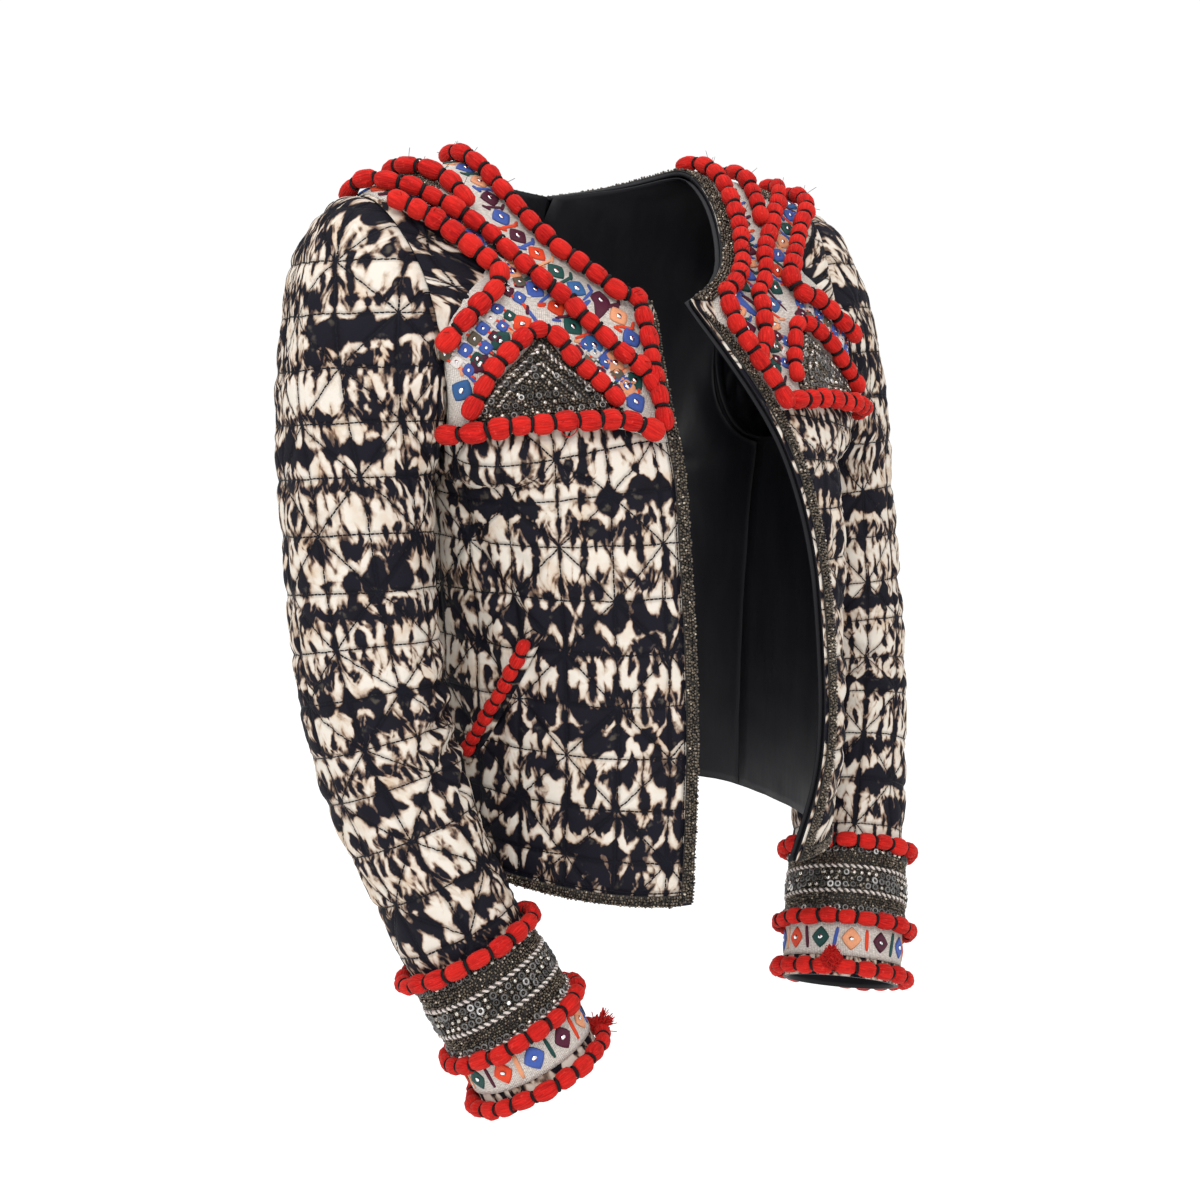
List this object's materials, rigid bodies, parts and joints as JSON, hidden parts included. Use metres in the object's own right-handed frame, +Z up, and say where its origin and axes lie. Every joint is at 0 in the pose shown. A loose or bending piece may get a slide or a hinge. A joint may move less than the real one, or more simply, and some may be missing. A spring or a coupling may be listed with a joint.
{
  "type": "jacket",
  "caption": "Cropped collarless quilted jacket worn open, with hollow body and sleeves, embroidered yokes, wool-bound rows and beaded cuffs.",
  "frame": {"origin": "middle of the neck hole at shoulder height, where the wearer's shoulders carry the jacket", "axes": "+Z up, -Y the way the wearer faces, +X the wearer's left"},
  "size_m": [0.5324, 0.2916, 0.6607],
  "materials": {
    "quilted_cotton": "printed quilted cotton",
    "black_lining": "smooth plain weave",
    "embroidered_cotton": "embroidered cotton",
    "seed_beads": "dark bronze lustre",
    "red_wool": "fibrous wool"
  },
  "bodies": {
    "root": {"shell_back": "quilted_cotton", "shell_front_right": "quilted_cotton", "shell_front_left": "quilted_cotton", "sleeve_right": "quilted_cotton", "sleeve_left": "quilted_cotton", "lining_back": "black_lining", "lining_front_right": "black_lining", "lining_front_left": "black_lining", "yoke_right": "embroidered_cotton", "yoke_left": "embroidered_cotton", "bead_insert_right": "seed_beads", "bead_insert_left": "seed_beads", "bead_edge_right": "seed_beads", "bead_edge_left": "seed_beads", "bead_neck": "seed_beads", "bead_hem_right": "seed_beads", "bead_hem_left": "seed_beads", "bead_hem_back": "seed_beads", "pocket_welt_right": "quilted_cotton", "pocket_welt_left": "quilted_cotton", "wool_pocket_right": "red_wool", "wool_pocket_left": "red_wool", "wool_neck_right": "red_wool", "wool_neck_left": "red_wool", "wool_middle_right": "red_wool", "wool_middle_left": "red_wool", "wool_short_right": "red_wool", "wool_short_left": "red_wool", "wool_outer_right": "red_wool", "wool_outer_left": "red_wool", "wool_base_right": "red_wool", "wool_base_left": "red_wool", "wool_peak_right": "red_wool", "wool_peak_left": "red_wool", "cuff_beads_right": "seed_beads", "cuff_beads_left": "seed_beads", "cuff_embroidery_right": "embroidered_cotton", "cuff_embroidery_left": "embroidered_cotton", "wool_cuff_upper_right": "red_wool", "wool_cuff_upper_left": "red_wool", "wool_cuff_middle_right": "red_wool", "wool_cuff_middle_left": "red_wool", "wool_cuff_lower_right": "red_wool", "wool_cuff_lower_left": "red_wool"}
  },
  "joints": []
}
